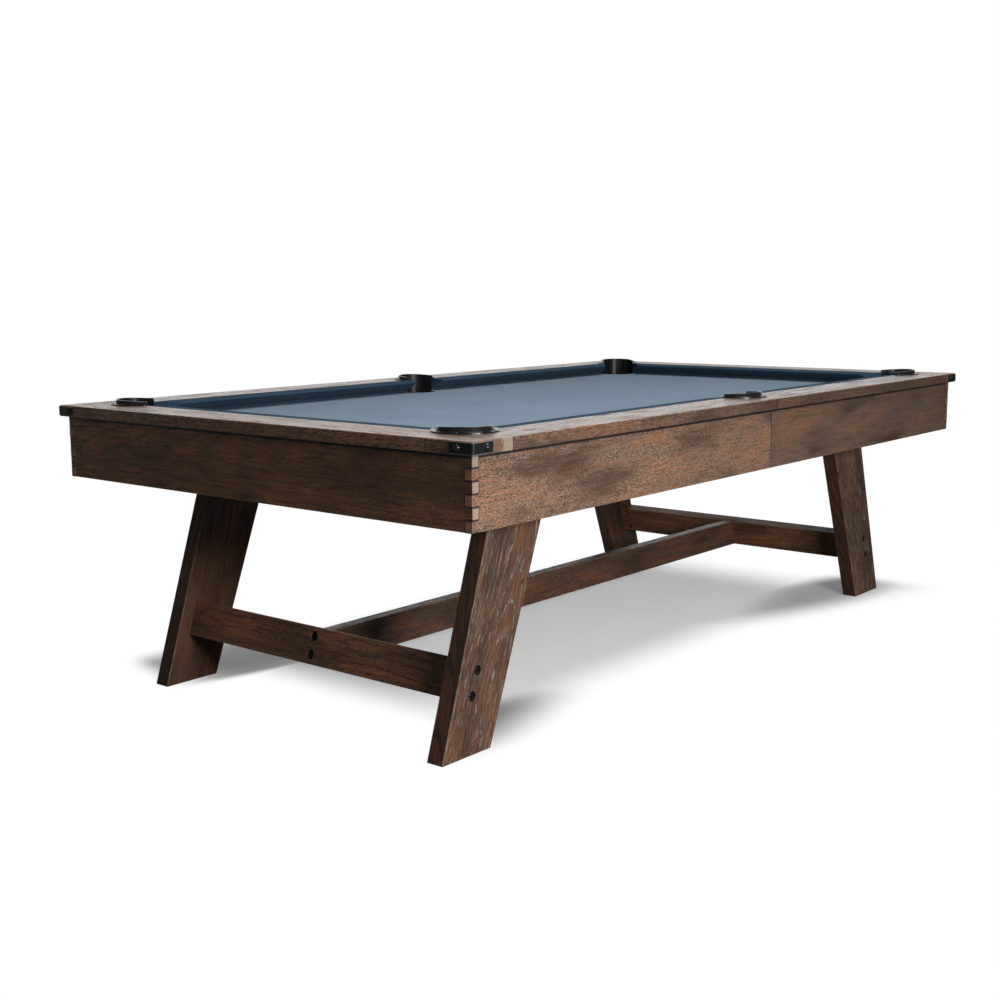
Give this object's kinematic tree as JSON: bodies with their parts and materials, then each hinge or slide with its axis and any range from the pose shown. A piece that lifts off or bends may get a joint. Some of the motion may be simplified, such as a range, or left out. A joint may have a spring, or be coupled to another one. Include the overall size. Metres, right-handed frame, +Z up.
{
  "type": "pool table",
  "caption": "Pool table with drop pockets, cloth-covered bed and cushions, finger-jointed wooden cabinet and splayed plank legs joined by stretchers, on levelling feet.",
  "frame": {"origin": "on the floor under the middle of the bed", "axes": "+X along the table's length, +Y across it towards the rear, +Z up"},
  "size_m": [2.608, 1.491, 0.7889],
  "materials": {
    "leg_wood": "dark walnut stain, brushed, satin",
    "cabinet_wood": "dark walnut stain, brushed, satin",
    "rail_wood": "dark walnut stain, brushed, satin",
    "frame_wood": "planed, unfinished",
    "slate": "honed",
    "cloth": "worsted, matte",
    "cushion_rubber": "matte",
    "pocket_black": "glossy",
    "black_metal": "satin black",
    "plated_steel": "zinc plated",
    "insert_brass": "plain",
    "foot_black": "black"
  },
  "bodies": {
    "table": {"leg_front_left": "leg_wood", "leg_rear_left": "leg_wood", "leg_front_right": "leg_wood", "leg_rear_right": "leg_wood", "end_stretcher_left": "leg_wood", "end_stretcher_right": "leg_wood", "centre_stretcher": "leg_wood", "apron_left": "cabinet_wood", "apron_right": "cabinet_wood", "apron_front_left": "cabinet_wood", "apron_rear_left": "cabinet_wood", "apron_front_right": "cabinet_wood", "apron_rear_right": "cabinet_wood", "rail_left": "rail_wood", "rail_right": "rail_wood", "rail_front_left": "rail_wood", "rail_rear_left": "rail_wood", "rail_front_right": "rail_wood", "rail_rear_right": "rail_wood", "corner_block_front_left": "rail_wood", "corner_block_rear_left": "rail_wood", "corner_block_front_right": "rail_wood", "corner_block_rear_right": "rail_wood", "long_beam_front": "frame_wood", "long_beam_rear": "frame_wood", "cross_beam_1": "frame_wood", "cross_beam_2": "frame_wood", "cross_beam_3": "frame_wood", "cross_beam_4": "frame_wood", "apron_splices": "frame_wood", "slate_left": "slate", "slate_centre": "slate", "slate_right": "slate", "bed_cloth": "cloth", "rail_cloths": "cloth", "feather_strips": "frame_wood", "cushion_left": "cushion_rubber", "cushion_right": "cushion_rubber", "cushion_front_left": "cushion_rubber", "cushion_rear_left": "cushion_rubber", "cushion_front_right": "cushion_rubber", "cushion_rear_right": "cushion_rubber", "pocket_front_left": "pocket_black", "pocket_rear_left": "pocket_black", "pocket_front_right": "pocket_black", "pocket_rear_right": "pocket_black", "pocket_front_middle": "pocket_black", "pocket_rear_middle": "pocket_black", "corner_straps": "black_metal", "strap_bolts": "black_metal", "stretcher_bolts": "black_metal", "pocket_screws": "black_metal", "leg_bolts": "plated_steel", "rail_bolts": "plated_steel", "barrel_nuts": "plated_steel", "leveller_inserts": "insert_brass"},
    "foot_front_left": {"leveller_front_left": "foot_black"},
    "foot_rear_left": {"leveller_rear_left": "foot_black"},
    "foot_front_right": {"leveller_front_right": "foot_black"},
    "foot_rear_right": {"leveller_rear_right": "foot_black"}
  },
  "joints": [
    {"name": "foot_front_left_screw", "type": "slide", "parent": "table", "child": "foot_front_left", "axis": [0, 0, -1], "range_m": [0, 0.02]},
    {"name": "foot_rear_left_screw", "type": "slide", "parent": "table", "child": "foot_rear_left", "axis": [0, 0, -1], "range_m": [0, 0.02]},
    {"name": "foot_front_right_screw", "type": "slide", "parent": "table", "child": "foot_front_right", "axis": [0, 0, -1], "range_m": [0, 0.02]},
    {"name": "foot_rear_right_screw", "type": "slide", "parent": "table", "child": "foot_rear_right", "axis": [0, 0, -1], "range_m": [0, 0.02]}
  ]
}
